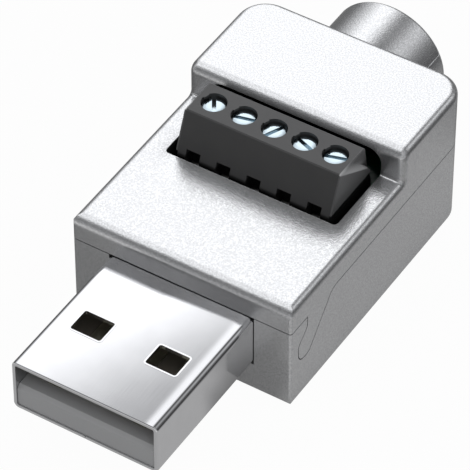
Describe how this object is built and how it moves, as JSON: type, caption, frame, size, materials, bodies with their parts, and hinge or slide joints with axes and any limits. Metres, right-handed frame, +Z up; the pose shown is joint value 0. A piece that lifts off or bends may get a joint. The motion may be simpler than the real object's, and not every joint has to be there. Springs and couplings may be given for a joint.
{
  "type": "usb screw terminal adapter",
  "caption": "Plug for a type A port with a row of screw terminals behind it, in a two-part silver snap housing with a stepped roof and a round cable outlet.",
  "frame": {"origin": "middle of the bottom of the overall box, in the plane that the housing rests on", "axes": "+X across the adapter, +Y from the plug to the cable outlet, +Z up through the screws"},
  "size_m": [0.0182, 0.0412, 0.0124],
  "materials": {
    "housing": "satin silver paint",
    "plug_steel": "bright nickel plate on folded steel sheet",
    "plug_plastic": "moulded grey plastic",
    "contact": "plated brass strip",
    "board": "lacquered glass-fibre board",
    "block": "fine matt moulded plastic",
    "pin": "tinned brass strip",
    "screw": "bright zinc plate with a blue tinge",
    "cage": "nickel-plated brass"
  },
  "bodies": {
    "adapter": {"upper_shell": "housing", "lower_shell": "housing", "plug_shell": "plug_steel", "plug_core": "plug_plastic", "circuit_board": "board", "terminal_block": "block", "plug_contact_1": "contact", "plug_contact_2": "contact", "plug_contact_3": "contact", "plug_contact_4": "contact", "terminal_pin_1": "pin", "terminal_pin_2": "pin", "terminal_pin_3": "pin", "terminal_pin_4": "pin", "terminal_pin_5": "pin"},
    "screw_1": {"terminal_screw_1": "screw"},
    "cage_1": {"clamp_cage_1": "cage"},
    "screw_2": {"terminal_screw_2": "screw"},
    "cage_2": {"clamp_cage_2": "cage"},
    "screw_3": {"terminal_screw_3": "screw"},
    "cage_3": {"clamp_cage_3": "cage"},
    "screw_4": {"terminal_screw_4": "screw"},
    "cage_4": {"clamp_cage_4": "cage"},
    "screw_5": {"terminal_screw_5": "screw"},
    "cage_5": {"clamp_cage_5": "cage"}
  },
  "joints": [
    {"name": "screw_1_turn", "type": "hinge", "parent": "adapter", "child": "screw_1", "pos_m": [-0.00508, 0.00405, 0.0121], "axis": [0, 0, -1], "range_deg": [0, 1440]},
    {"name": "cage_1_rise", "type": "slide", "parent": "adapter", "child": "cage_1", "axis": [0, 0, 1], "range_m": [0, 0.0012]},
    {"name": "screw_2_turn", "type": "hinge", "parent": "adapter", "child": "screw_2", "pos_m": [-0.00254, 0.00405, 0.0121], "axis": [0, 0, -1], "range_deg": [0, 1440]},
    {"name": "cage_2_rise", "type": "slide", "parent": "adapter", "child": "cage_2", "axis": [0, 0, 1], "range_m": [0, 0.0012]},
    {"name": "screw_3_turn", "type": "hinge", "parent": "adapter", "child": "screw_3", "pos_m": [0, 0.00405, 0.0121], "axis": [0, 0, -1], "range_deg": [0, 1440]},
    {"name": "cage_3_rise", "type": "slide", "parent": "adapter", "child": "cage_3", "axis": [0, 0, 1], "range_m": [0, 0.0012]},
    {"name": "screw_4_turn", "type": "hinge", "parent": "adapter", "child": "screw_4", "pos_m": [0.00254, 0.00405, 0.0121], "axis": [0, 0, -1], "range_deg": [0, 1440]},
    {"name": "cage_4_rise", "type": "slide", "parent": "adapter", "child": "cage_4", "axis": [0, 0, 1], "range_m": [0, 0.0012]},
    {"name": "screw_5_turn", "type": "hinge", "parent": "adapter", "child": "screw_5", "pos_m": [0.00508, 0.00405, 0.0121], "axis": [0, 0, -1], "range_deg": [0, 1440]},
    {"name": "cage_5_rise", "type": "slide", "parent": "adapter", "child": "cage_5", "axis": [0, 0, 1], "range_m": [0, 0.0012]}
  ],
  "couplings": [
    {"joint": "screw_1_turn", "follows": "cage_1_rise", "rad_per_m": 20944},
    {"joint": "screw_2_turn", "follows": "cage_2_rise", "rad_per_m": 20944},
    {"joint": "screw_3_turn", "follows": "cage_3_rise", "rad_per_m": 20944},
    {"joint": "screw_4_turn", "follows": "cage_4_rise", "rad_per_m": 20944},
    {"joint": "screw_5_turn", "follows": "cage_5_rise", "rad_per_m": 20944}
  ]
}
